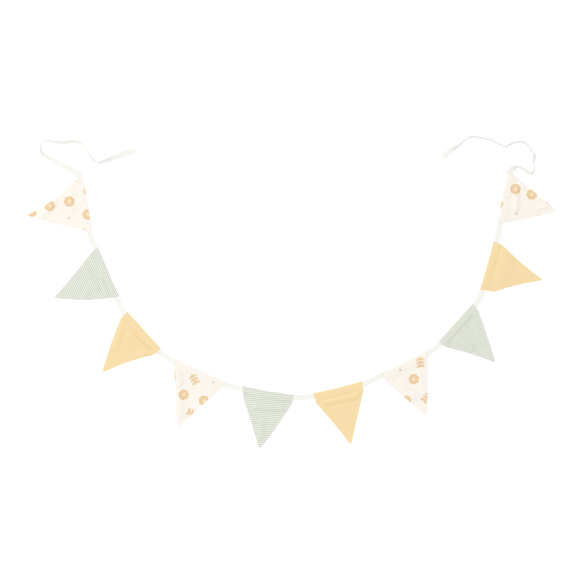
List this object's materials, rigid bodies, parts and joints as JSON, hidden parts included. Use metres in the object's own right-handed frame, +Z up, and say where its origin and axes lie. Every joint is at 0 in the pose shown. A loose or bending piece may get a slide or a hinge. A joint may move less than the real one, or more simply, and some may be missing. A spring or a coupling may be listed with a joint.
{
  "type": "fabric bunting",
  "caption": "Garland of pentagon cloth flags with stitched top casings, threaded on a long flat twill tape that ends in free ties, laid out in a U.",
  "frame": {"origin": "middle of the layout's footprint, on the surface that it lies on", "axes": "+X from the left tie's side to the right tie's side, +Y from the bottom of the U to its open end with the ties, +Z up out of the flags' printed faces"},
  "size_m": [1.5831, 0.9374, 0.017],
  "materials": {
    "tape": "matt off-white cotton twill tape",
    "print_cloth": "matt cream cotton with a sparse ochre and sage print",
    "stripe_cloth": "matt cotton with fine sage and off-white stripes",
    "plain_cloth": "matt plain soft yellow cotton"
  },
  "bodies": {
    "root": {"tape": "tape", "flag_01_print": "print_cloth", "flag_02_stripe": "stripe_cloth", "flag_03_plain": "plain_cloth", "flag_04_print": "print_cloth", "flag_05_stripe": "stripe_cloth", "flag_06_plain": "plain_cloth", "flag_07_print": "print_cloth", "flag_08_stripe": "stripe_cloth", "flag_09_plain": "plain_cloth", "flag_10_print": "print_cloth"}
  },
  "joints": []
}
